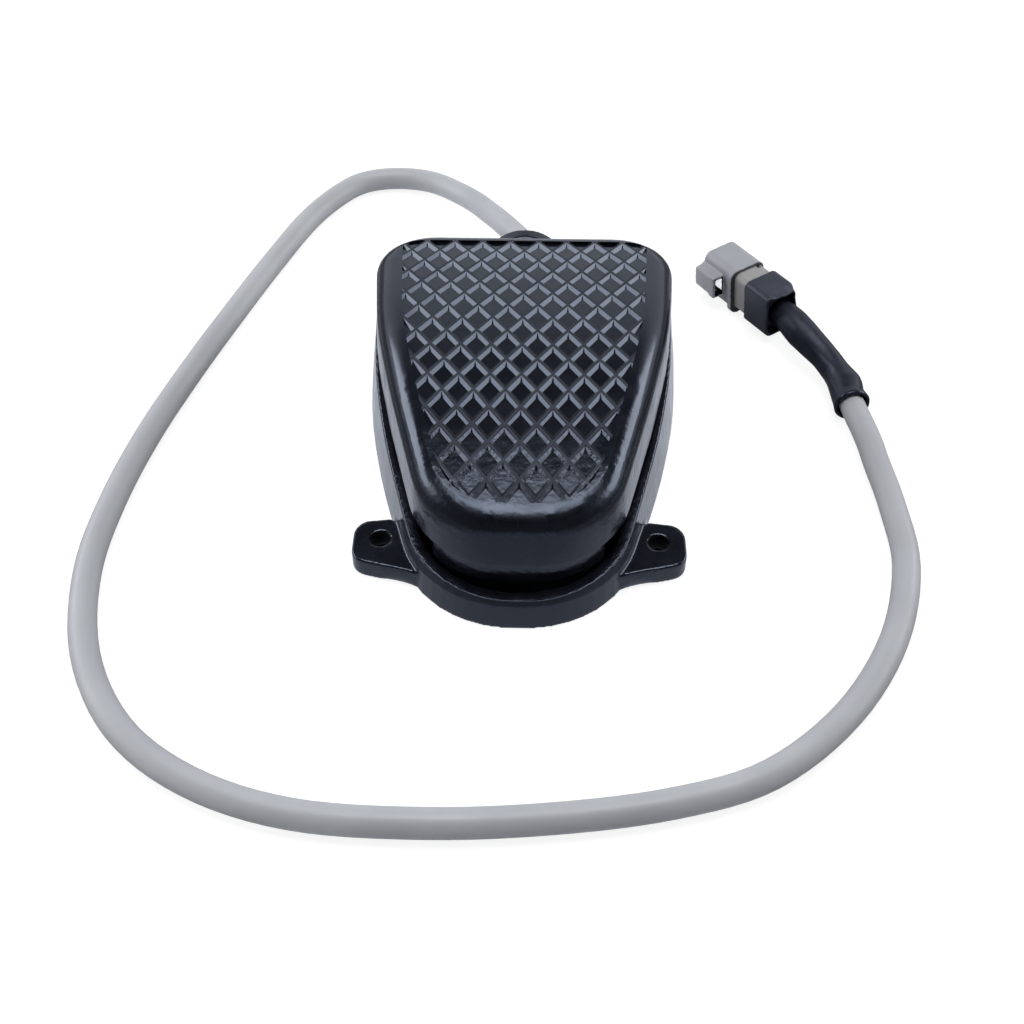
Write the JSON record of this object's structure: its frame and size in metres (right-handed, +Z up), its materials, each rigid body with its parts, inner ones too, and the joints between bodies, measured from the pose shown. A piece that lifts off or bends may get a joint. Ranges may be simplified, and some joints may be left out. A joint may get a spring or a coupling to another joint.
{
  "type": "foot switch",
  "caption": "Low cast-metal foot switch: a diamond-tread treadle hinged on an eared base, with a jacketed lead and a sealed in-line receptacle.",
  "frame": {"origin": "on the floor plane under the middle of the box around the casting, the treadle and the lead bushing", "axes": "+Z up, +Y from the toe to the rear wall where the lead comes out, +X to the operator's right when the toe points at the operator"},
  "size_m": [0.2428, 0.292, 0.043],
  "materials": {
    "cast_paint": "thick gloss black paint over an iron casting",
    "zinc": "bright zinc plate",
    "spring_steel": "oiled spring steel",
    "bronze": "sintered bronze and brass",
    "nylon": "natural nylon",
    "rubber": "satin black rubber",
    "case_black": "moulded phenolic",
    "cover_red": "moulded phenolic",
    "plunger_red": "moulded acetal",
    "wire_brown": "smooth PVC",
    "wire_blue": "smooth PVC",
    "lead_grey": "smooth semi-matt PVC jacket",
    "sleeve_black": "satin shrunk sleeve",
    "shell_grey": "moulded nylon, fine matt",
    "wedge_orange": "moulded nylon",
    "seal_orange": "silicone rubber"
  },
  "bodies": {
    "base_body": {"base": "cast_paint", "hinge_pin": "zinc", "pin_clips": "spring_steel", "thrust_washers": "nylon", "return_spring": "spring_steel", "switch_bracket": "zinc", "bracket_screws": "zinc", "switch_case": "case_black", "switch_cover": "cover_red", "switch_screws": "zinc", "switch_nuts": "zinc", "lever_pin": "zinc", "blade_terminals": "bronze", "crimp_terminals": "zinc", "brown_wire": "wire_brown", "blue_wire": "wire_blue", "cable_clamp": "zinc", "clamp_screws": "zinc", "lead_bushing": "rubber", "inner_lead": "lead_grey", "cable": "lead_grey", "sleeve": "sleeve_black", "connector_boot": "sleeve_black", "connector_shell": "shell_grey", "wedge_lock": "wedge_orange", "contact_pins": "zinc", "rear_seal": "seal_orange"},
    "treadle_body": {"treadle": "cast_paint", "hinge_bushes": "bronze", "stop_buffers": "rubber", "adjusting_screw": "zinc", "lock_nut": "zinc"},
    "lever_body": {"actuator_lever": "spring_steel"},
    "plunger_body": {"switch_plunger": "plunger_red"}
  },
  "joints": [
    {"name": "treadle_hinge", "type": "hinge", "parent": "base_body", "child": "treadle_body", "pos_m": [0, 0.044, 0.0124], "axis": [1, 0, 0], "range_deg": [0, 3], "stiffness_Nm_per_rad": 28, "springref_deg": -2.86, "deforming": ["return_spring"]},
    {"name": "lever_hinge", "type": "hinge", "parent": "base_body", "child": "lever_body", "pos_m": [-0.0122, -0.015, 0.023], "axis": [1, 0, 0], "range_deg": [0, 10.6]},
    {"name": "plunger_slide", "type": "slide", "parent": "base_body", "child": "plunger_body", "axis": [0, 0, -1], "range_m": [0, 0.001]}
  ],
  "couplings": [
    {"joint": "lever_hinge", "follows": "treadle_hinge", "ratio": 3.5333},
    {"joint": "plunger_slide", "follows": "treadle_hinge", "m_per_rad": 0.019089}
  ]
}
